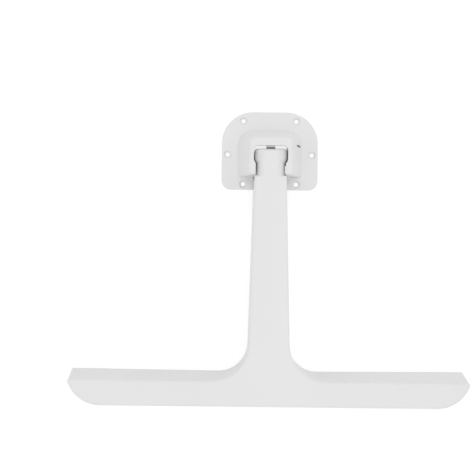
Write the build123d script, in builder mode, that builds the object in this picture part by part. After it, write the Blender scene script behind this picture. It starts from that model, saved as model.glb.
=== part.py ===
"""Folding table leg: a pressed steel T leg that folds flat against its own mounting plate.

Row frame: the mounting face lies on z = 0 and +Z points away from the table board. The
hinge pin runs along X over the origin, +Y points at the rounded end of the plate, and the
folded leg runs towards -Y with its foot along X. All lengths are in millimetres.
"""

import os
from math import atan, degrees, sqrt

from build123d import *

# Shared gaps
swing_gap = 0.3  # between faces that pass each other as the leg turns
side_gap = 0.7  # each side of the neck in its slot
weld_gap = 0.05  # between a welded doubler and the sheet round it
pin_fit = 0.03  # radial, pin in the bracket
turn_fit = 0.05  # radial, pin in the turning neck

# Housing and hinge
housing_height = 27.0  # from the mounting face to the housing's flat top
plate_sheet = 2.0
pin_radius = 2.5
pin_reach = 13.3  # from the pin to the housing's top and to its end wall
pin_height = housing_height - pin_reach
end_wall_y = -pin_reach

# Flange of the mounting plate
flange_width = 100.0
flange_below_wall = 12.8  # from the end wall to the straight edge
flange_length = 80.9
flange_round_radius = 32.7
flange_corner_radius = 9.5
flange_low_y = end_wall_y - flange_below_wall
flange_high_y = flange_low_y + flange_length

# Screw holes
screw_radius = 2.25
countersink_radius = 4.0
countersink_angle = 90.0
screw_row_pitch = 55.5
high_row_inset = 9.0  # from the rounded edge
low_row_inset = 5.7  # from the straight edge
side_pitch = 88.0
side_inset = 44.3  # from the rounded edge

# Pressed housing
housing_base_half = 34.8
housing_top_half = 21.3
wall_run = housing_base_half - housing_top_half  # of every sloping wall over its height
base_far_radius = 18.5
near_corner_radius = 3.0
housing_edge_radius = 3.0
housing_foot_radius = 2.5

# Neck of the leg
neck_head_half = 16.6
neck_waist_half = 14.6
neck_reach = 13.3  # from the pin to the end of the neck
neck_edge_radius = 6.5
neck_end_radius = 2.5
neck_step_high = 2.6  # where the head starts to narrow
neck_step_low = -1.4  # where the waist starts

# Slot in the housing
slot_end_gap = 3.0  # daylight past the end of the neck
slot_corner = 3.2
slot_head_half = neck_head_half + side_gap
slot_waist_half = neck_waist_half + side_gap
slot_end_y = neck_reach + slot_end_gap
top_land = 7.8  # flat top left past the slot
top_far_y = slot_end_y + top_land
base_far_y = top_far_y + wall_run

# Leg pressing
leg_sheet = 1.2
pin_to_floor = 246.0
post_half_high = 16.6  # at the rim, by the shoulder
post_half_low = 21.0  # at the rim, where the flare starts
post_draft = 0.4  # how much narrower the face is, each side
flare_radius_rim = 30.0
flare_radius_face = 38.0
flare_start = 61.0  # above the floor edge
leg_edge_radius = 2.5

# Foot of the leg
foot_half = 204.0
foot_end_radius = 35.5
foot_face_height = 25.3
foot_rim_height = 30.9
foot_rim_rise = 1.4  # extra height of the rim at the ends
foot_corner_radius = 2.5
floor_y = -pin_to_floor

# The rim stands clear of the flange, then runs down to the mounting plane
jamb_y = end_wall_y + plate_sheet
rim_lift = pin_height + jamb_y + swing_gap
lift_end_y = flange_low_y - 6.0
lift_run = 22.0

# The shoulder is hollowed on an arc that clears the housing's rounded edge
corner_reach = sqrt(2) * pin_reach - (sqrt(2) - 1) * housing_edge_radius
shoulder_gap = 0.35
shoulder_radius = corner_reach + shoulder_gap
shoulder_y = end_wall_y - swing_gap

# Pivot bracket
bracket_sheet = 2.0
ear_inner_half = slot_head_half
ear_outer_half = ear_inner_half + bracket_sheet
ear_reach = 7.5
web_y = 19.6
web_low = 6.2
web_drop = 3.0
bracket_bend = 3.2
ear_top_chamfer = 0.8
boss_corner_radius = 7.3

# Detent spring and its rivet
spring_sheet = 0.8
spring_width = 9.0
spring_gap = 0.2
spring_low = 6.6
spring_bend_z = 19.6
spring_toe = 1.6
rivet_radius = 1.6
rivet_head_radius = 2.8
rivet_head = 0.9
rivet_head_chamfer = 0.5
rivet_z = 10.4

# Clearance of the holes in the leg shell, where the pin only passes through
shell_hole_gap = 0.5

# Neck doubler
doubler_sheet = 2.0
doubler_low_y = -24.0
doubler_low_z = 5.0

# Pin head and its push-on retainer
pin_head_radius = 4.2
pin_head = 1.6
pin_head_chamfer = 0.7
pin_tail_chamfer = 0.4
pin_tail = 2.2
retainer_radius = 4.6
retainer_sheet = 0.6
retainer_slit = 0.7
retainer_slit_length = 1.6
retainer_teeth = 6


def level_half(at_rim, at_face, z):
    """Return a size that changes evenly from the rim at z = 0 to the face."""
    return at_rim + (at_face - at_rim) * z / housing_height


def wall_inset(wall, run):
    """Return the level distance across a wall that leans by run over its height."""
    return wall * sqrt(1 + (run / housing_height) ** 2)


def housing_form(wall):
    """Return the drawn housing as a solid form, set in by its wall."""
    inset = wall_inset(wall, wall_run)
    near_y = end_wall_y + wall
    far_y = base_far_y - inset
    with BuildPart() as form:
        with BuildSketch() as base:
            with Locations((0, far_y)):
                Rectangle(
                    2 * (housing_base_half - inset),
                    far_y - near_y + 2 * wall_run,
                    align=(Align.CENTER, Align.MAX),
                )
            fillet(base.vertices().group_by(Axis.Y)[-1], base_far_radius - inset)
        extrude(amount=housing_height - wall, taper=degrees(atan(wall_run / housing_height)))
        # The end wall, which the neck passes through, stands upright
        split(bisect_by=Plane.XZ.offset(-near_y), keep=Keep.BOTTOM)
        end_wall_edges = form.faces().sort_by(Axis.Y)[0].edges().sort_by(Axis.X)
        fillet([end_wall_edges[0], end_wall_edges[-1]], near_corner_radius - wall)
        if not wall:
            fillet(form.faces().sort_by(Axis.Z)[-1].edges(), housing_edge_radius)
    return form.part


def tee_outline(z, wall):
    """Return the outline of post and foot at a height, set in by the wall."""
    side = wall_inset(wall, post_draft)
    flank = wall_inset(wall, foot_rim_height - foot_face_height)
    high_half = level_half(post_half_high, post_half_high - post_draft, z) - side
    low_half = level_half(post_half_low, post_half_low - post_draft, z) - side
    flare_radius = level_half(flare_radius_rim, flare_radius_face, z) + wall
    crotch_y = floor_y + level_half(foot_rim_height, foot_face_height, z) - flank
    end_y = crotch_y + level_half(foot_rim_rise, 0, z)
    end_radius = foot_end_radius - wall
    centre_x = foot_half - foot_end_radius
    centre_y = floor_y + foot_end_radius
    end_x = centre_x + sqrt(end_radius**2 - (centre_y - end_y) ** 2)
    low_x = low_half + (high_half - low_half) * (crotch_y - floor_y - flare_start) / (
        pin_to_floor - flare_start - pin_reach
    )
    with BuildSketch(Plane.XY.offset(z)) as outline:
        with BuildLine():
            Line((0, floor_y + wall), (centre_x, floor_y + wall))
            RadiusArc((centre_x, floor_y + wall), (end_x, end_y), -end_radius)
            Polyline(
                (end_x, end_y),
                (low_x, crotch_y),
                (high_half, shoulder_y - wall),
                (0, shoulder_y - wall),
            )
            mirror(about=Plane.YZ)
        make_face()
        for turn in (-1, 1):
            crotch = outline.vertices().sort_by_distance((turn * low_x, crotch_y))[0]
            fillet(crotch, flare_radius)
            toe = outline.vertices().sort_by_distance((turn * end_x, end_y))[0]
            fillet(toe, foot_corner_radius - wall)
    return outline.sketch


def neck_section(y, half, wall):
    """Return the round-edged section of the neck at a place along it."""
    high = housing_height - wall
    with BuildSketch(Plane.XZ.offset(-y)) as section:
        with Locations((0, (high + rim_lift - wall) / 2)):
            Rectangle(2 * (half - wall), high - rim_lift + wall)
        fillet(section.vertices().group_by(Axis.Y)[-1], neck_edge_radius - wall)
    return section.sketch


def leg_form(wall):
    """Return the whole leg as a solid form, set in by its sheet."""
    face_z = housing_height - wall
    with BuildPart() as post:
        loft(sections=[tee_outline(0, wall), tee_outline(face_z, wall)], ruled=True)
        if not wall:
            fillet(post.faces().sort_by(Axis.Z)[-1].edges(), leg_edge_radius)
        with BuildSketch(Plane.YZ) as swing:
            with Locations((0, pin_height)):
                Circle(shoulder_radius + wall)
        extrude(amount=post_half_low * 2, both=True, mode=Mode.SUBTRACT)
    with BuildPart() as neck:
        stations = [
            (neck_reach - wall, neck_head_half),
            (neck_step_high, neck_head_half),
            (neck_step_low, neck_waist_half),
            (-shoulder_radius - leg_edge_radius - wall, neck_waist_half),
        ]
        loft(sections=[neck_section(y, half, wall) for y, half in stations], ruled=True)
        if not wall:
            end_edges = neck.faces().sort_by(Axis.Y)[-1].edges().sort_by(Axis.Z)[1:]
            fillet(end_edges, neck_end_radius)
    with BuildPart() as form:
        add(post.part)
        add(neck.part)
    return form.part


os.makedirs("parts", exist_ok=True)

# Mounting plate: flange and drawn housing in one pressing
with BuildPart() as mounting_plate:
    with BuildSketch() as flange:
        with Locations((0, (flange_low_y + flange_high_y) / 2)):
            Rectangle(flange_width, flange_length)
        fillet(flange.vertices().group_by(Axis.Y)[0], flange_corner_radius)
        fillet(flange.vertices().group_by(Axis.Y)[-1], flange_round_radius)
    extrude(amount=plate_sheet)
    add(housing_form(0))
    foot_edges = (
        mounting_plate.edges()
        .filter_by_position(Axis.Z, plate_sheet - 0.01, plate_sheet + 0.01)
        .filter_by(lambda edge: abs(edge.center().X) < housing_base_half + 1)
        .filter_by(lambda edge: edge.center().Y > end_wall_y - 1)
        .filter_by(lambda edge: edge.center().Y < base_far_y + 1)
    )
    fillet(foot_edges, housing_foot_radius)
    add(housing_form(plate_sheet), mode=Mode.SUBTRACT)
    # Slot for the neck, open through the end wall down to the flange
    with BuildSketch(Plane.XY.offset(plate_sheet)) as slot:
        with BuildLine():
            Polyline(
                (0, end_wall_y - housing_foot_radius - 1),
                (slot_waist_half, end_wall_y - housing_foot_radius - 1),
                (slot_waist_half, neck_step_low - side_gap),
                (slot_head_half, neck_step_high - side_gap),
                (slot_head_half, slot_end_y - slot_corner),
                (slot_head_half - slot_corner, slot_end_y),
                (0, slot_end_y),
            )
            mirror(about=Plane.YZ)
        make_face()
    extrude(amount=housing_height, mode=Mode.SUBTRACT)
    # The root of the end wall is cut square where the folded post lies in front of it
    with BuildSketch(Plane.XY.offset(plate_sheet)) as post_room:
        with Locations((0, end_wall_y)):
            Rectangle(
                2 * (post_half_high + side_gap),
                housing_foot_radius + 1,
                align=(Align.CENTER, Align.MAX),
            )
    extrude(amount=housing_foot_radius + 1, mode=Mode.SUBTRACT)
    # Six countersunk screw holes
    rows = [
        (screw_row_pitch / 2, flange_high_y - high_row_inset),
        (screw_row_pitch / 2, flange_low_y + low_row_inset),
        (side_pitch / 2, flange_high_y - side_inset),
    ]
    for x, y in rows:
        with Locations((x, y, plate_sheet), (-x, y, plate_sheet)):
            CounterSinkHole(screw_radius, countersink_radius, plate_sheet, countersink_angle)
mounting_plate.part.label = "mounting_plate"
export_step(mounting_plate.part, "parts/mounting_plate.step")

# Leg shell: neck, post and foot drawn from one sheet and open at the back
with BuildPart() as leg_shell:
    add(leg_form(0))
    add(leg_form(leg_sheet), mode=Mode.SUBTRACT)
    # Rim lifted over the flange
    with BuildSketch(Plane.YZ) as under_rim:
        with BuildLine():
            Polyline(
                (lift_end_y - lift_run, 0),
                (lift_end_y, rim_lift),
                (neck_reach + 1, rim_lift),
                (neck_reach + 1, -1),
                (lift_end_y - lift_run, -1),
                close=True,
            )
        make_face()
    extrude(amount=2 * post_half_low, both=True, mode=Mode.SUBTRACT)
    # Clearance holes for the pin, wider than those in the doubler that carries it
    with BuildSketch(Plane.YZ) as shell_holes:
        with Locations((0, pin_height)):
            Circle(pin_radius + shell_hole_gap)
    extrude(amount=neck_head_half + 1, both=True, mode=Mode.SUBTRACT)
leg_shell.part.label = "leg_shell"
export_step(leg_shell.part, "parts/leg_shell.step")

# Neck doubler: a bent channel welded inside the neck, with the holes that the pin turns in
doubler_half = neck_waist_half - leg_sheet - weld_gap
doubler_high = housing_height - leg_sheet - weld_gap
doubler_end_y = neck_reach - leg_sheet - neck_end_radius
with BuildPart() as neck_doubler:
    with BuildSketch(Plane.XZ.offset(-doubler_low_y)) as channel:
        with Locations((0, doubler_high)):
            Rectangle(
                2 * doubler_half,
                doubler_high - doubler_low_z,
                align=(Align.CENTER, Align.MAX),
            )
        fillet(channel.vertices().group_by(Axis.Y)[-1], neck_edge_radius - leg_sheet)
        with BuildSketch(Plane.XZ.offset(-doubler_low_y), mode=Mode.SUBTRACT) as channel_room:
            with Locations((0, doubler_high - doubler_sheet)):
                Rectangle(
                    2 * (doubler_half - doubler_sheet),
                    doubler_high,
                    align=(Align.CENTER, Align.MAX),
                )
            fillet(
                channel_room.vertices().group_by(Axis.Y)[-1],
                neck_edge_radius - leg_sheet - doubler_sheet,
            )
    extrude(amount=-(doubler_end_y - doubler_low_y))
    with BuildSketch(Plane.YZ) as doubler_holes:
        with Locations((0, pin_height)):
            Circle(pin_radius + turn_fit)
    extrude(amount=neck_head_half, both=True, mode=Mode.SUBTRACT)
neck_doubler.part.label = "neck_doubler"
export_step(neck_doubler.part, "parts/neck_doubler.step")

# Pivot bracket: two ears and a web bent from one strip, welded under the housing's top
ear_high = housing_height - plate_sheet
web_back_y = web_y + bracket_sheet
with BuildPart() as pivot_bracket:
    with BuildSketch() as channel_plan:
        with Locations((0, web_back_y)):
            Rectangle(
                2 * ear_outer_half,
                web_back_y + ear_reach,
                align=(Align.CENTER, Align.MAX),
            )
        fillet(channel_plan.vertices().group_by(Axis.Y)[-1], bracket_bend)
        with BuildSketch(mode=Mode.SUBTRACT) as channel_inside:
            with Locations((0, web_y)):
                Rectangle(
                    2 * ear_inner_half,
                    web_y + ear_reach,
                    align=(Align.CENTER, Align.MAX),
                )
            fillet(
                channel_inside.vertices().group_by(Axis.Y)[-1], bracket_bend - bracket_sheet
            )
    extrude(amount=housing_height)
    with BuildSketch(Plane.YZ) as ear_side:
        with BuildLine():
            Polyline(
                (-ear_reach, web_low),
                (-ear_reach, ear_high),
                (web_back_y - bracket_bend, ear_high),
                (web_back_y, ear_high - web_drop),
                (web_back_y, web_low),
                close=True,
            )
        make_face()
        boss_corner = ear_side.vertices().sort_by_distance((0, -ear_reach, web_low))[0]
        fillet(boss_corner, boss_corner_radius)
    extrude(amount=ear_outer_half + 1, both=True, mode=Mode.INTERSECT)
    ear_tops = pivot_bracket.faces().sort_by(Axis.Z)[-2:].edges().filter_by(Axis.Y)
    outer_tops = ear_tops.filter_by(lambda edge: abs(edge.center().X) > ear_outer_half - 0.1)
    chamfer(outer_tops, ear_top_chamfer)
    with BuildSketch(Plane.YZ) as ear_holes:
        with Locations((0, pin_height)):
            Circle(pin_radius + pin_fit)
    extrude(amount=ear_outer_half + 1, both=True, mode=Mode.SUBTRACT)
    with BuildSketch(Plane.XZ.offset(-web_back_y)) as rivet_hole:
        with Locations((0, rivet_z)):
            Circle(rivet_radius + pin_fit)
    extrude(amount=bracket_sheet + 1, both=True, mode=Mode.SUBTRACT)
pivot_bracket.part.label = "pivot_bracket"
export_step(pivot_bracket.part, "parts/pivot_bracket.step")

# Detent spring: a hairpin of strip whose front leaf bears on the end of the neck
front_y = neck_reach + spring_gap
back_y = web_y - spring_sheet
hairpin_radius = (web_y - front_y) / 2
with BuildPart() as detent_spring:
    with BuildSketch(Plane.YZ) as hairpin:
        with BuildLine():
            back = Line((web_y, spring_low), (web_y, spring_bend_z))
            bend = RadiusArc(back @ 1, (front_y, spring_bend_z), -hairpin_radius)
            front = Line(bend @ 1, (front_y, spring_low + spring_toe))
            toe = Line(front @ 1, (front_y + spring_toe, spring_low))
            toe_end = Line(toe @ 1, (front_y + spring_toe + spring_sheet, spring_low))
            toe_back = Line(toe_end @ 1, (front_y + spring_sheet, spring_low + spring_toe))
            front_back = Line(toe_back @ 1, (front_y + spring_sheet, spring_bend_z))
            inner = RadiusArc(
                front_back @ 1, (back_y, spring_bend_z), hairpin_radius - spring_sheet
            )
            back_inner = Line(inner @ 1, (back_y, spring_low))
            Line(back_inner @ 1, back @ 0)
        make_face()
    extrude(amount=spring_width / 2, both=True)
    with BuildSketch(Plane.XZ.offset(-web_y)) as leaf_hole:
        with Locations((0, rivet_z)):
            Circle(rivet_radius + pin_fit)
    extrude(amount=spring_sheet + 0.5, mode=Mode.SUBTRACT)
detent_spring.part.label = "detent_spring"
export_step(detent_spring.part, "parts/detent_spring.step")

# Rivet that holds the spring's back leaf to the web
rivet_length = bracket_sheet + spring_sheet
with BuildPart() as spring_rivet:
    with BuildSketch(Plane.XZ.offset(-web_back_y)) as shank:
        with Locations((0, rivet_z)):
            Circle(rivet_radius)
    extrude(amount=rivet_length)
    with BuildSketch(Plane.XZ.offset(-web_back_y), Plane.XZ.offset(-back_y)) as heads:
        with Locations((0, rivet_z)):
            Circle(rivet_head_radius)
    extrude(heads.sketch.faces().sort_by(Axis.Y)[-1], amount=-rivet_head)
    extrude(heads.sketch.faces().sort_by(Axis.Y)[0], amount=rivet_head)
    rivet_rims = spring_rivet.edges().filter_by(GeomType.CIRCLE).sort_by(Axis.Y)
    chamfer([rivet_rims[0], rivet_rims[-1]], rivet_head_chamfer)
spring_rivet.part.label = "spring_rivet"
export_step(spring_rivet.part, "parts/spring_rivet.step")

# Pivot pin: headed at one end, held by the push-on retainer at the other
pin_head_x = -ear_outer_half - weld_gap
pin_tail_x = ear_outer_half + pin_tail
with BuildPart() as pivot_pin:
    with BuildSketch(Plane.YZ.offset(pin_head_x)) as pin_shank:
        with Locations((0, pin_height)):
            Circle(pin_radius)
    extrude(amount=pin_tail_x - pin_head_x)
    with BuildSketch(Plane.YZ.offset(pin_head_x)) as pin_head_disc:
        with Locations((0, pin_height)):
            Circle(pin_head_radius)
    extrude(amount=-pin_head)
    pin_rims = pivot_pin.edges().filter_by(GeomType.CIRCLE).sort_by(Axis.X)
    chamfer(pin_rims[0], pin_head_chamfer)
    chamfer(pin_rims[-1], pin_tail_chamfer)
pivot_pin.part.label = "pivot_pin"
export_step(pivot_pin.part, "parts/pivot_pin.step")

# Push-on retainer: a star washer whose slit hole grips the plain end of the pin
with BuildPart() as pin_retainer:
    with BuildSketch(Plane.YZ.offset(ear_outer_half + weld_gap)) as star:
        with Locations((0, pin_height)):
            Circle(retainer_radius)
            Circle(pin_radius + pin_fit, mode=Mode.SUBTRACT)
        with Locations((0, pin_height)):
            with PolarLocations(pin_radius + retainer_slit_length / 3, retainer_teeth):
                Rectangle(retainer_slit_length, retainer_slit, mode=Mode.SUBTRACT)
    extrude(amount=retainer_sheet)
pin_retainer.part.label = "pin_retainer"
export_step(pin_retainer.part, "parts/pin_retainer.step")
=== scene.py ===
"""Finish, weld beads and studio for the folding table leg, laid out as an add-on."""

from math import radians

import bpy
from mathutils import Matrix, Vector


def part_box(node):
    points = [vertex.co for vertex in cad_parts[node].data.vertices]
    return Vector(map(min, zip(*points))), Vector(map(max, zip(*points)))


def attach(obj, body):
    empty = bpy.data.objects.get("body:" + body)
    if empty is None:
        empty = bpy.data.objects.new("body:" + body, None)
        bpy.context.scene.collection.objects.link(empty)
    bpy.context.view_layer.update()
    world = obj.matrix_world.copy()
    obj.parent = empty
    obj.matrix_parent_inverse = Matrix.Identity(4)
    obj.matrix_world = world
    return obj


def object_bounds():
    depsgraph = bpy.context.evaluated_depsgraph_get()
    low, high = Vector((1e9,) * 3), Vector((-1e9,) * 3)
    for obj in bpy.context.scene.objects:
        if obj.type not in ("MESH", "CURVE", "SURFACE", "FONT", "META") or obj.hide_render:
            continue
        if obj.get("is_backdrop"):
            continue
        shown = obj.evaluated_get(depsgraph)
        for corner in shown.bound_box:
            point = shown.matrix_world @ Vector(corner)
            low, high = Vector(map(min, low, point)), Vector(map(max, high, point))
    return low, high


bl_info = {
    "name": "Folding Table Leg Finish",
    "version": (1, 0, 0),
    "blender": (4, 5, 0),
    "location": "3D View > Sidebar > Table Leg",
    "description": "Paints a pressed steel folding table leg and sets its studio",
    "category": "Object",
}

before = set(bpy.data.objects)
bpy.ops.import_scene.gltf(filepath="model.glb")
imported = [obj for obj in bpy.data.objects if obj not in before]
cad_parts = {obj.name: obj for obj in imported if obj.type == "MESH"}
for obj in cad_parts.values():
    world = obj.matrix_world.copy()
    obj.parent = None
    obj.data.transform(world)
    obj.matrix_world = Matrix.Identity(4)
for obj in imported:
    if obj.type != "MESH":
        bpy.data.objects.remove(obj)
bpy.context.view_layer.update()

PLATE_BODY = "plate"
LEG_BODY = "leg"
INNER_PRESSINGS = ("pivot_bracket", "neck_doubler")
ZINC_PARTS = ("pivot_pin", "pin_retainer", "spring_rivet")
SPRING_PART = "detent_spring"
# Values of a noise at which a mask or a roughness begins and is full
WIDE_NOISE = (0.3, 0.7)
MIDDLE_NOISE = (0.35, 0.65)
NARROW_NOISE = (0.4, 0.6)
EDGE_NOISE = (0.35, 0.6)
STREAK_NOISE = (0.3, 0.6)
# Least share of the mask that the noise leaves on an edge and on the neck
EDGE_LEAST = 0.25
STREAK_LEAST = 0.7
# Parts of a face's normal at which it counts as looking up, down or to the right
UPWARD = (0.1, 0.5)
DOWNWARD = (-0.4, -0.7)
RIGHTWARD = (0.1, 0.3)
# Likeness of the rounded and the flat normal beside a sharp edge
SHARP_EDGE = (0.995, 0.85)
# Where the painted shade and rub streaks on the neck fade in, in metres from the neck's end
# on the foot's side
NECK_SHADE_FADE = (-0.002, 0.001)
# Distance from the chip's middle, in reaches and with the noise added, over its rim
CHIP_RIM = (1.6, 1.3)
# Share of the chip's mask at which the paint ends and the steel is bare
BARE_STEEL = (0.3, 0.5)
# Distance from a nib's middle at its foot and at its top, in nib spacings
NIB_SLOPE = (0.08, 0)
# How far a bead lies below and outside the edge it follows, as shares of its radius
EAR_BEAD_SINK = 0.6
DOUBLER_BEAD_SINK = 0.7
EAR_BEAD_PROUD = 0.25
# How far in metres an ear's bead lies from the ear's middle, towards the foot
EAR_BEAD_SHIFT = 0.004
# Name, share of the lamp power and place from the leg's middle of each soft lamp
LAMPS = (
    ("top_lamp", 1.0, (0.1, 0.0, 1.4)),
    ("left_lamp", 0.55, (-1.3, -0.3, 0.5)),
    ("front_lamp", 0.3, (0.0, -1.3, 0.5)),
    ("right_lamp", 0.4, (1.3, 0.1, 0.5)),
    ("back_lamp", 0.5, (0.1, 1.3, 0.5)),
)


class PaintSettings(bpy.types.PropertyGroup):
    """The white stoved paint and the marks on it."""

    color: bpy.props.FloatVectorProperty(
        name="Paint color",
        description="Color of the paint on the outside",
        default=(0.73, 0.73, 0.73),
        size=3,
        subtype="COLOR",
    )
    thin_color: bpy.props.FloatVectorProperty(
        name="Thin paint color",
        description="Color where less paint reached, as inside the housing",
        default=(0.66, 0.66, 0.655),
        size=3,
        subtype="COLOR",
    )
    roughness: bpy.props.FloatProperty(
        name="Roughness",
        description="Roughness of the dry paint",
        default=0.42,
        subtype="FACTOR",
    )
    roughness_swing: bpy.props.FloatProperty(
        name="Roughness swing",
        description="How far the roughness strays from patch to patch",
        default=0.06,
        subtype="FACTOR",
    )
    peel_size: bpy.props.FloatProperty(
        name="Orange peel size",
        description="Width of the ripples in the paint",
        default=0.0022,
        unit="LENGTH",
    )
    peel_depth: bpy.props.FloatProperty(
        name="Orange peel depth",
        description="Height of the ripples in the paint",
        default=0.00002,
        unit="LENGTH",
    )
    mottle_size: bpy.props.FloatProperty(
        name="Mottle size",
        description="Width of the faint light and dark patches",
        default=0.06,
        unit="LENGTH",
    )
    mottle_shade: bpy.props.FloatProperty(
        name="Mottle shade",
        description="Share of the color left in the dark patches",
        default=0.975,
        subtype="FACTOR",
    )
    chip_place: bpy.props.FloatVectorProperty(
        name="Chip place",
        description="Middle of the chip in the paint of the housing",
        default=(0.0293, 0.0183, 0.011),
        size=3,
        subtype="XYZ",
        unit="LENGTH",
    )
    chip_reach: bpy.props.FloatVectorProperty(
        name="Chip reach",
        description="Half size of the chip along each axis",
        default=(0.003, 0.0012, 0.007),
        size=3,
        subtype="XYZ",
        unit="LENGTH",
    )
    chip_color: bpy.props.FloatVectorProperty(
        name="Chip color",
        description="Bare steel seen through the chip",
        default=(0.15, 0.145, 0.14),
        size=3,
        subtype="COLOR",
    )
    rust_color: bpy.props.FloatVectorProperty(
        name="Rust color",
        description="Dark oxide in the grain of the chip and along its rim",
        default=(0.05, 0.042, 0.036),
        size=3,
        subtype="COLOR",
    )
    paint_depth: bpy.props.FloatProperty(
        name="Paint depth",
        description="Thickness of the paint, seen as the step round the chip",
        default=0.00015,
        unit="LENGTH",
    )
    # Edge reach and edge shade set painted shade along the sharp edges, partly paint drawn
    # thin there
    edge_reach: bpy.props.FloatProperty(
        name="Edge reach",
        description="How far from a sharp edge the paint is drawn thin",
        default=0.0008,
        unit="LENGTH",
    )
    edge_shade: bpy.props.FloatProperty(
        name="Edge shade",
        description="Share of the color left where the paint is thin on an edge",
        default=0.75,
        subtype="FACTOR",
    )
    leg_sheet: bpy.props.FloatProperty(
        name="Leg sheet",
        description="Thickness of the steel sheet that the leg is pressed from",
        default=0.0012,
        unit="LENGTH",
    )
    # Painted shade on the neck's shoulders and end where they lie in the slot, with rub
    # streaks in it
    neck_shade_and_rub_share: bpy.props.FloatProperty(
        name="Rub shade",
        description="Share of the color left where the neck rubs in its slot",
        default=0.82,
        subtype="FACTOR",
    )
    # How far in from the neck's sides the painted shade and rub streaks reach
    neck_shade_width: bpy.props.FloatProperty(
        name="Rub width",
        description="How far the rubbed shade reaches in from the neck's sides",
        default=0.009,
        unit="LENGTH",
    )
    nib_size: bpy.props.FloatProperty(
        name="Nib spacing",
        description="Distance between the fine dust nibs in the paint",
        default=0.006,
        unit="LENGTH",
    )


class SteelSettings(bpy.types.PropertyGroup):
    """The bare metal parts of the hinge."""

    zinc_color: bpy.props.FloatVectorProperty(
        name="Zinc color",
        description="Color of the zinc plated parts",
        default=(0.62, 0.63, 0.65),
        size=3,
        subtype="COLOR",
    )
    spring_color: bpy.props.FloatVectorProperty(
        name="Spring color",
        description="Color of the hardened spring strip",
        default=(0.56, 0.57, 0.59),
        size=3,
        subtype="COLOR",
    )
    zinc_roughness: bpy.props.FloatProperty(
        name="Zinc roughness",
        description="Roughness of the zinc plated parts",
        default=0.34,
        subtype="FACTOR",
    )
    spring_roughness: bpy.props.FloatProperty(
        name="Spring roughness",
        description="Roughness of the spring strip",
        default=0.38,
        subtype="FACTOR",
    )
    roughness_swing: bpy.props.FloatProperty(
        name="Roughness swing",
        description="How far the roughness strays between the brushing lines",
        default=0.08,
        subtype="FACTOR",
    )
    scratch_shade: bpy.props.FloatProperty(
        name="Scratch shade",
        description="Share of the color left in the brushing lines",
        default=0.8,
        subtype="FACTOR",
    )
    scratch_stretch: bpy.props.FloatProperty(
        name="Scratch stretch",
        description="Width of a brushing line as a share of its length along the pin",
        default=0.05,
        subtype="FACTOR",
    )
    scratch_width: bpy.props.FloatProperty(
        name="Scratch width",
        description="Width of the fine brushing lines",
        default=0.0004,
        unit="LENGTH",
    )


class WeldSettings(bpy.types.PropertyGroup):
    """The weld beads that hold the inner pressings."""

    ripple_radius: bpy.props.FloatProperty(
        name="Ripple radius",
        description="Radius of one ripple of a bead",
        default=0.0011,
        unit="LENGTH",
    )
    ripple_pitch: bpy.props.FloatProperty(
        name="Ripple pitch",
        description="Distance between two ripples",
        default=0.0011,
        unit="LENGTH",
    )
    ear_ripples: bpy.props.IntProperty(
        name="Ear ripples",
        description="Ripples in the bead along each ear of the bracket",
        default=7,
    )
    doubler_ripples: bpy.props.IntProperty(
        name="Doubler ripples",
        description="Ripples in the bead across the doubler's end",
        default=11,
    )
    flatness: bpy.props.FloatProperty(
        name="Flatness",
        description="Length of one ripple along the bead as a share of its width",
        default=0.8,
        subtype="FACTOR",
    )
    skin_size: bpy.props.FloatProperty(
        name="Skin size",
        description="Voxel size of the skin that joins the ripples",
        default=0.0003,
        unit="LENGTH",
    )


class StageSettings(bpy.types.PropertyGroup):
    """The camera, the lamps and the floor."""

    camera_place: bpy.props.FloatVectorProperty(
        name="Camera place",
        description="Where the camera stands over the leg",
        default=(-0.0355, -0.0887, 0.6682),
        size=3,
        subtype="XYZ",
        unit="LENGTH",
    )
    camera_turn: bpy.props.FloatVectorProperty(
        name="Camera turn",
        description="Turn of the camera from looking straight down, in degrees",
        default=(1.29, -0.03, 0.65),
        size=3,
    )
    lens: bpy.props.FloatProperty(
        name="Lens",
        description="Focal length of the camera in millimetres",
        default=49.0,
    )
    clip_start: bpy.props.FloatProperty(
        name="Clip start",
        description="Nearest distance that the camera sees",
        default=0.01,
        unit="LENGTH",
    )
    floor_size: bpy.props.FloatProperty(
        name="Floor size",
        description="Side of the floor",
        default=8.0,
        unit="LENGTH",
    )
    floor_color: bpy.props.FloatVectorProperty(
        name="Floor color",
        description="Color of the floor as it lights the leg",
        default=(0.9, 0.9, 0.9),
        size=3,
        subtype="COLOR",
    )
    seen_color: bpy.props.FloatVectorProperty(
        name="Seen floor color",
        description="Color of the floor as the camera sees it, under its glow",
        default=(0.2, 0.2, 0.2),
        size=3,
        subtype="COLOR",
    )
    floor_lift: bpy.props.FloatProperty(
        name="Floor lift",
        description="Glow that brings the lit floor up to white before the camera",
        default=0.82,
    )
    floor_gap: bpy.props.FloatProperty(
        name="Floor gap",
        description="How far the floor lies under the mounting face",
        default=0.0005,
        unit="LENGTH",
    )
    sky: bpy.props.FloatProperty(
        name="Sky",
        description="Strength of the even light from all round",
        default=0.825,
    )
    lamp_power: bpy.props.FloatProperty(
        name="Lamp power",
        description="Power of the strongest of the large soft lamps",
        default=3.8,
        unit="POWER",
    )
    lamp_size: bpy.props.FloatProperty(
        name="Lamp size",
        description="Side of each soft lamp",
        default=1.4,
        unit="LENGTH",
    )


def start_material(name):
    """Return a new node material with its tree and its shader."""
    material = bpy.data.materials.new(name)
    material.use_nodes = True
    tree = material.node_tree
    return material, tree, tree.nodes["Principled BSDF"]


def object_noise(tree, size, detail, stretch=(1, 1, 1)):
    """Return a noise node that reads the object's own coordinates at a real size."""
    place = tree.nodes.new("ShaderNodeTexCoord")
    mapping = tree.nodes.new("ShaderNodeMapping")
    mapping.inputs["Scale"].default_value = stretch
    noise = tree.nodes.new("ShaderNodeTexNoise")
    noise.inputs["Scale"].default_value = 1 / size
    noise.inputs["Detail"].default_value = detail
    tree.links.new(place.outputs["Object"], mapping.inputs["Vector"])
    tree.links.new(mapping.outputs["Vector"], noise.inputs["Vector"])
    return noise


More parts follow.
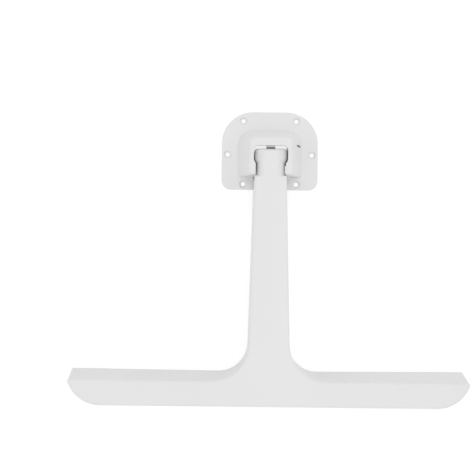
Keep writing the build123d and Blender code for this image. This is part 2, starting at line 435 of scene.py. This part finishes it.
def spread(tree, source, low_in, high_in, low_out, high_out):
    """Return a node output that maps one range of a value on another."""
    ranger = tree.nodes.new("ShaderNodeMapRange")
    ranger.inputs["From Min"].default_value = low_in
    ranger.inputs["From Max"].default_value = high_in
    ranger.inputs["To Min"].default_value = low_out
    ranger.inputs["To Max"].default_value = high_out
    tree.links.new(source, ranger.inputs["Value"])
    return ranger.outputs["Result"]


def blend_colors(tree, share, first, second):
    """Return a color output between two colors or links, by a share."""
    mix = tree.nodes.new("ShaderNodeMix")
    mix.data_type = "RGBA"
    tree.links.new(share, mix.inputs["Factor"])
    for socket, color in ((mix.inputs["A"], first), (mix.inputs["B"], second)):
        if isinstance(color, bpy.types.NodeSocket):
            tree.links.new(color, socket)
        else:
            socket.default_value = (*color, 1)
    return mix.outputs["Result"]


def add_bump(tree, height, depth, normal):
    """Send a height through a bump node to a normal socket, and return the node."""
    bump = tree.nodes.new("ShaderNodeBump")
    bump.inputs["Distance"].default_value = depth
    tree.links.new(height, bump.inputs["Height"])
    tree.links.new(bump.outputs["Normal"], normal)
    return bump


def times(tree, first, second):
    """Return the product of two values, each a link or a number."""
    product = tree.nodes.new("ShaderNodeMath")
    product.operation = "MULTIPLY"
    for socket, value in zip(product.inputs, (first, second)):
        if isinstance(value, bpy.types.NodeSocket):
            tree.links.new(value, socket)
        else:
            socket.default_value = value
    return product.outputs["Value"]


def object_axes(tree, output):
    """Return the three parts of the object's own place or normal."""
    place = tree.nodes.new("ShaderNodeTexCoord")
    parts = tree.nodes.new("ShaderNodeSeparateXYZ")
    tree.links.new(place.outputs[output], parts.inputs["Vector"])
    return parts.outputs["X"], parts.outputs["Y"], parts.outputs["Z"]


def edge_mask(tree, reach):
    """Return a mask that is 1 on a sharp edge, for painted shade and thin paint there,
    broken up so that it looks worn.
    """
    rounded = tree.nodes.new("ShaderNodeBevel")
    rounded.samples = 6
    rounded.inputs["Radius"].default_value = reach
    flat = tree.nodes.new("ShaderNodeNewGeometry")
    facing = tree.nodes.new("ShaderNodeVectorMath")
    facing.operation = "DOT_PRODUCT"
    tree.links.new(rounded.outputs["Normal"], facing.inputs[0])
    tree.links.new(flat.outputs["Normal"], facing.inputs[1])
    edge = spread(tree, facing.outputs["Value"], *SHARP_EDGE, 0, 1)
    patches = object_noise(tree, reach * 12, 3).outputs["Fac"]
    return times(tree, edge, spread(tree, patches, *EDGE_NOISE, EDGE_LEAST, 1))


def neck_shade_and_rub_mask(tree, width, half, end):
    """Return a mask of the neck's shoulders and end, for painted shade where they fall away
    into the slot, streaked like rub marks.

    The neck reaches as far from the pin towards the foot as it does the other way.
    """
    x, y = object_axes(tree, "Object")[:2]
    from_middle = tree.nodes.new("ShaderNodeMath")
    from_middle.operation = "ABSOLUTE"
    tree.links.new(x, from_middle.inputs[0])
    aside = spread(tree, from_middle.outputs["Value"], half - width, half, 0, 1)
    endwise = spread(tree, y, end - width / 3, end, 0, 1)
    rim = tree.nodes.new("ShaderNodeMath")
    rim.operation = "MAXIMUM"
    tree.links.new(aside, rim.inputs[0])
    tree.links.new(endwise, rim.inputs[1])
    along = spread(tree, y, NECK_SHADE_FADE[0] - end, NECK_SHADE_FADE[1] - end, 0, 1)
    upward = spread(tree, object_axes(tree, "Normal")[2], *UPWARD, 0, 1)
    streaks = object_noise(tree, width / 6, 3, stretch=(1, 0.25, 1)).outputs["Fac"]
    worn = spread(tree, streaks, *STREAK_NOISE, STREAK_LEAST, 1)
    return times(tree, times(tree, rim.outputs["Value"], along), times(tree, upward, worn))


def inside_mask(tree):
    """Return a mask of the faces that look down, into the open back of a pressing."""
    return spread(tree, object_axes(tree, "Normal")[2], *DOWNWARD, 0, 1)


def chip_mask(tree, place, reach):
    """Return a mask that is 1 inside a ragged chip and 0 outside it."""
    coordinates = tree.nodes.new("ShaderNodeTexCoord")
    offset = tree.nodes.new("ShaderNodeVectorMath")
    offset.operation = "SUBTRACT"
    offset.inputs[1].default_value = place
    scaled = tree.nodes.new("ShaderNodeVectorMath")
    scaled.operation = "DIVIDE"
    scaled.inputs[1].default_value = reach
    length = tree.nodes.new("ShaderNodeVectorMath")
    length.operation = "LENGTH"
    ragged = object_noise(tree, min(reach) * 0.7, 4)
    added = tree.nodes.new("ShaderNodeMath")
    added.operation = "ADD"
    tree.links.new(coordinates.outputs["Object"], offset.inputs[0])
    tree.links.new(offset.outputs["Vector"], scaled.inputs[0])
    tree.links.new(scaled.outputs["Vector"], length.inputs[0])
    tree.links.new(length.outputs["Value"], added.inputs[0])
    tree.links.new(ragged.outputs["Fac"], added.inputs[1])
    inside = spread(tree, added.outputs["Value"], *CHIP_RIM, 0, 1)
    rightward = spread(tree, object_axes(tree, "Normal")[0], *RIGHTWARD, 0, 1)
    return times(tree, inside, rightward)


def shaded(tree, mask, color, share):
    """Return a color that falls to a share of itself where a mask is 1."""
    darker = tree.nodes.new("ShaderNodeMix")
    darker.data_type = "RGBA"
    darker.blend_type = "MULTIPLY"
    tree.links.new(mask, darker.inputs["Factor"])
    tree.links.new(color, darker.inputs["A"])
    darker.inputs["B"].default_value = (share, share, share, 1)
    return darker.outputs["Result"]


def paint_material(name, settings, color, chip=False, neck=None):
    """Return stoved paint: mottled, thin inside, with painted shade and thin paint on
    edges, painted shade on a neck if one is given, orange peel and nibs.
    """
    material, tree, shader = start_material(name)
    mottle = object_noise(tree, settings.mottle_size, 4).outputs["Fac"]
    share = spread(tree, mottle, *MIDDLE_NOISE, 0, 1)
    darker = tuple(channel * settings.mottle_shade for channel in color)
    surface = blend_colors(tree, share, darker, color)
    surface = blend_colors(tree, inside_mask(tree), surface, settings.thin_color)
    # Painted shade along the sharp edges, partly thin paint there
    edge = edge_mask(tree, settings.edge_reach)
    surface = shaded(tree, edge, surface, settings.edge_shade)
    if neck:
        # Painted shade on the neck's shoulders and end in the slot, streaked like rub marks
        shaded_and_rubbed = neck_shade_and_rub_mask(tree, settings.neck_shade_width, *neck)
        surface = shaded(tree, shaded_and_rubbed, surface, settings.neck_shade_and_rub_share)
    if chip:
        mask = chip_mask(tree, settings.chip_place, settings.chip_reach)
        grain = object_noise(tree, min(settings.chip_reach) / 2, 4).outputs["Fac"]
        rusty = spread(tree, grain, *NARROW_NOISE, 0, 1)
        steel = blend_colors(tree, rusty, settings.chip_color, settings.rust_color)
        bare = spread(tree, mask, *BARE_STEEL, 0, 1)
        surface = blend_colors(tree, bare, surface, steel)
    tree.links.new(surface, shader.inputs["Base Color"])
    gloss = object_noise(tree, settings.mottle_size / 4, 3).outputs["Fac"]
    low = settings.roughness - settings.roughness_swing
    high = settings.roughness + settings.roughness_swing
    tree.links.new(spread(tree, gloss, *WIDE_NOISE, low, high), shader.inputs["Roughness"])
    peel = object_noise(tree, settings.peel_size, 2).outputs["Fac"]
    ripples = add_bump(tree, peel, settings.peel_depth, shader.inputs["Normal"])
    spots = tree.nodes.new("ShaderNodeTexVoronoi")
    spots.inputs["Scale"].default_value = 1 / settings.nib_size
    place = tree.nodes.new("ShaderNodeTexCoord")
    tree.links.new(place.outputs["Object"], spots.inputs["Vector"])
    nib = spread(tree, spots.outputs["Distance"], *NIB_SLOPE, 0, 1)
    nibs = add_bump(tree, nib, settings.peel_depth * 2, ripples.inputs["Normal"])
    if chip:
        step = add_bump(tree, mask, settings.paint_depth, nibs.inputs["Normal"])
        step.invert = True
    return material


def steel_material(name, settings, color, roughness):
    """Return bare metal with fine brushing along the hinge pin's direction."""
    material, tree, shader = start_material(name)
    shader.inputs["Metallic"].default_value = 1
    width = settings.scratch_width
    stretch = (settings.scratch_stretch, 1, 1)
    brushing = object_noise(tree, width, 2, stretch).outputs["Fac"]
    share = spread(tree, brushing, *WIDE_NOISE, 0, 1)
    darker = tuple(channel * settings.scratch_shade for channel in color)
    tree.links.new(blend_colors(tree, share, darker, color), shader.inputs["Base Color"])
    low = roughness - settings.roughness_swing
    high = roughness + settings.roughness_swing
    rough = spread(tree, brushing, *WIDE_NOISE, low, high)
    tree.links.new(rough, shader.inputs["Roughness"])
    add_bump(tree, brushing, width / 40, shader.inputs["Normal"])
    return material


def coat(node, material):
    """Put one material on every slot of a frame node."""
    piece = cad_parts[node]
    if not piece.material_slots:
        piece.data.materials.append(material)
    for slot in piece.material_slots:
        slot.material = material


def clear_selection():
    """Deselect everything, so that an operator acts on new pieces alone."""
    if bpy.context.object and bpy.context.object.mode != "OBJECT":
        bpy.ops.object.mode_set(mode="OBJECT")
    bpy.ops.object.select_all(action="DESELECT")


def ripple_bead(name, middle, along, count, settings):
    """Return one weld bead: overlapping ripples in a row, joined by one skin."""
    clear_selection()
    reach = settings.ripple_pitch * (count - 1) / 2
    start = [middle[i] - along[i] * reach for i in range(3)]
    bpy.ops.mesh.primitive_uv_sphere_add(
        segments=16, ring_count=10, radius=settings.ripple_radius, location=start
    )
    bead = bpy.context.object
    bead.name = name
    bpy.ops.object.mode_set(mode="EDIT")
    bpy.ops.mesh.select_all(action="SELECT")
    flat = [settings.flatness if step else 1.0 for step in along]
    bpy.ops.transform.resize(value=flat, center_override=start)
    bpy.ops.object.mode_set(mode="OBJECT")
    bpy.ops.object.transform_apply(location=True, rotation=True, scale=True)
    row = bead.modifiers.new("Row", "ARRAY")
    row.count = count
    row.use_relative_offset = False
    row.use_constant_offset = True
    row.constant_offset_displace = [step * settings.ripple_pitch for step in along]
    skin = bead.modifiers.new("Skin", "REMESH")
    skin.mode = "VOXEL"
    skin.voxel_size = settings.skin_size
    for modifier in ("Row", "Skin"):
        bpy.ops.object.modifier_apply(modifier=modifier)
    bpy.ops.object.shade_smooth()
    return bead


class LEG_OT_paint_pressings(bpy.types.Operator):
    """Paint the mounting plate, the leg and the pressings inside them"""

    bl_idname = "table_leg.paint_pressings"
    bl_label = "Paint Pressings"

    def execute(self, context):
        settings = context.scene.leg_paint
        neck_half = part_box("neck_doubler")[1].x + settings.leg_sheet
        neck_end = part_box("leg_shell")[1].y
        neck = (neck_half, neck_end)
        outside = paint_material("leg_paint", settings, settings.color, neck=neck)
        plate = paint_material("plate_paint", settings, settings.color, chip=True)
        inside = paint_material("thin_paint", settings, settings.thin_color)
        coat("mounting_plate", plate)
        coat("leg_shell", outside)
        for node in INNER_PRESSINGS:
            coat(node, inside)
        return {"FINISHED"}


class LEG_OT_finish_steel(bpy.types.Operator):
    """Finish the pin, its retainer, the rivet and the spring in bare metal"""

    bl_idname = "table_leg.finish_steel"
    bl_label = "Finish Steel Parts"

    def execute(self, context):
        settings = context.scene.leg_steel
        zinc = steel_material(
            "zinc_plate", settings, settings.zinc_color, settings.zinc_roughness
        )
        strip = steel_material(
            "spring_strip", settings, settings.spring_color, settings.spring_roughness
        )
        for node in ZINC_PARTS:
            coat(node, zinc)
        coat(SPRING_PART, strip)
        return {"FINISHED"}


class LEG_OT_add_welds(bpy.types.Operator):
    """Add the weld beads along the bracket's ears and the doubler's end"""

    bl_idname = "table_leg.add_welds"
    bl_label = "Add Weld Beads"

    def execute(self, context):
        settings = context.scene.leg_weld
        paint = context.scene.leg_paint
        bead_paint = paint_material("weld_paint", paint, paint.thin_color)
        ear_low, ear_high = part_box("pivot_bracket")
        doubler_low, doubler_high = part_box("neck_doubler")
        radius = settings.ripple_radius
        ear_y = (ear_low.y + ear_high.y) / 2 - EAR_BEAD_SHIFT
        ear_z = ear_high.z - radius * EAR_BEAD_SINK
        doubler_z = doubler_high.z - radius * DOUBLER_BEAD_SINK
        proud = radius * EAR_BEAD_PROUD
        # Name, middle, direction, ripples and body of each bead
        beads = (
            ("ear_weld_left", (ear_low.x - proud, ear_y, ear_z), (0, 1, 0),
             settings.ear_ripples, PLATE_BODY),
            ("ear_weld_right", (ear_high.x + proud, ear_y, ear_z), (0, 1, 0),
             settings.ear_ripples, PLATE_BODY),
            ("doubler_weld", (0, doubler_low.y, doubler_z), (1, 0, 0),
             settings.doubler_ripples, LEG_BODY),
        )
        for name, middle, along, count, body in beads:
            bead = ripple_bead(name, middle, along, count, settings)
            bead.data.materials.append(bead_paint)
            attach(bead, body)
        return {"FINISHED"}


def background_rays(tree):
    """Return 1 for the rays that show the white background, and 0 for the others."""
    path = tree.nodes.new("ShaderNodeLightPath")
    seen = path.outputs["Is Camera Ray"]
    for ray in ("Is Glossy Ray", "Is Transmission Ray"):
        either = tree.nodes.new("ShaderNodeMath")
        either.operation = "MAXIMUM"
        tree.links.new(seen, either.inputs[0])
        tree.links.new(path.outputs[ray], either.inputs[1])
        seen = either.outputs["Value"]
    return seen


def floor_material(color, seen_color, lift):
    """Return a white floor that keeps its shadows and glows a little where it is seen."""
    material = bpy.data.materials.new("studio_floor")
    material.use_nodes = True
    tree = material.node_tree
    tree.nodes.clear()
    diffuse = tree.nodes.new("ShaderNodeBsdfDiffuse")
    glow = tree.nodes.new("ShaderNodeEmission")
    both = tree.nodes.new("ShaderNodeAddShader")
    output = tree.nodes.new("ShaderNodeOutputMaterial")
    seen = background_rays(tree)
    shade = blend_colors(tree, seen, color, seen_color)
    tree.links.new(shade, diffuse.inputs["Color"])
    tree.links.new(times(tree, seen, lift), glow.inputs["Strength"])
    tree.links.new(diffuse.outputs["BSDF"], both.inputs[0])
    tree.links.new(glow.outputs["Emission"], both.inputs[1])
    tree.links.new(both.outputs["Shader"], output.inputs["Surface"])
    return material


def white_sky(strength):
    """Light the scene evenly from all round, and show plain white where it is seen."""
    world = bpy.data.worlds.new("studio_sky")
    world.use_nodes = True
    bpy.context.scene.world = world
    tree = world.node_tree
    background = tree.nodes["Background"]
    background.inputs["Color"].default_value = (1, 1, 1, 1)
    shown = spread(tree, background_rays(tree), 0, 1, strength, 1)
    tree.links.new(shown, background.inputs["Strength"])


class LEG_OT_set_stage(bpy.types.Operator):
    """Set the camera, the lamps, the sky and the floor"""

    bl_idname = "table_leg.set_stage"
    bl_label = "Set Stage"

    def execute(self, context):
        settings = context.scene.leg_stage
        clear_selection()
        bpy.ops.mesh.primitive_plane_add(
            size=settings.floor_size, location=(0, 0, -settings.floor_gap)
        )
        floor = context.object
        floor.name = "floor"
        floor.data.materials.append(
            floor_material(settings.floor_color, settings.seen_color, settings.floor_lift)
        )
        floor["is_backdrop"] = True
        white_sky(settings.sky)
        clear_selection()
        low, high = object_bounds()
        middle = (low + high) / 2
        for name, share, away in LAMPS:
            away = Vector(away)
            bpy.ops.object.light_add(
                type="AREA",
                location=middle + away,
                rotation=away.to_track_quat("Z", "Y").to_euler(),
            )
            lamp = context.object
            lamp.name = name
            lamp.data.size = settings.lamp_size
            lamp.data.energy = settings.lamp_power * share
        bpy.ops.object.camera_add(
            location=settings.camera_place,
            rotation=[radians(angle) for angle in settings.camera_turn],
        )
        camera = context.object
        camera.data.lens = settings.lens
        camera.data.clip_start = settings.clip_start
        context.scene.camera = camera
        context.scene.view_settings.view_transform = "Standard"
        return {"FINISHED"}


class LEG_PT_panel(bpy.types.Panel):
    """Sidebar panel with the steps in the order they run"""

    bl_idname = "LEG_PT_panel"
    bl_label = "Table Leg"
    bl_space_type = "VIEW_3D"
    bl_region_type = "UI"
    bl_category = "Table Leg"

    def draw(self, context):
        for step in STEPS:
            self.layout.operator(step.bl_idname)
        for group in SETTINGS:
            box = self.layout.box()
            settings = getattr(context.scene, group)
            for name in settings.bl_rna.properties.keys():
                if name not in ("rna_type", "name"):
                    box.prop(settings, name)


STEPS = (
    LEG_OT_paint_pressings,
    LEG_OT_finish_steel,
    LEG_OT_add_welds,
    LEG_OT_set_stage,
)
SETTINGS = {
    "leg_paint": PaintSettings,
    "leg_steel": SteelSettings,
    "leg_weld": WeldSettings,
    "leg_stage": StageSettings,
}


def register():
    """Register every class and hang the settings on the scene."""
    for name, group in SETTINGS.items():
        bpy.utils.register_class(group)
        setattr(bpy.types.Scene, name, bpy.props.PointerProperty(type=group))
    for step in STEPS:
        bpy.utils.register_class(step)
    bpy.utils.register_class(LEG_PT_panel)


def unregister():
    """Take everything away again."""
    bpy.utils.unregister_class(LEG_PT_panel)
    for step in reversed(STEPS):
        bpy.utils.unregister_class(step)
    for name, group in SETTINGS.items():
        delattr(bpy.types.Scene, name)
        bpy.utils.unregister_class(group)


def main():
    """Run every step in order."""
    register()
    bpy.ops.table_leg.paint_pressings()
    bpy.ops.table_leg.finish_steel()
    bpy.ops.table_leg.add_welds()
    bpy.ops.table_leg.set_stage()


if __name__ == "__main__":
    main()
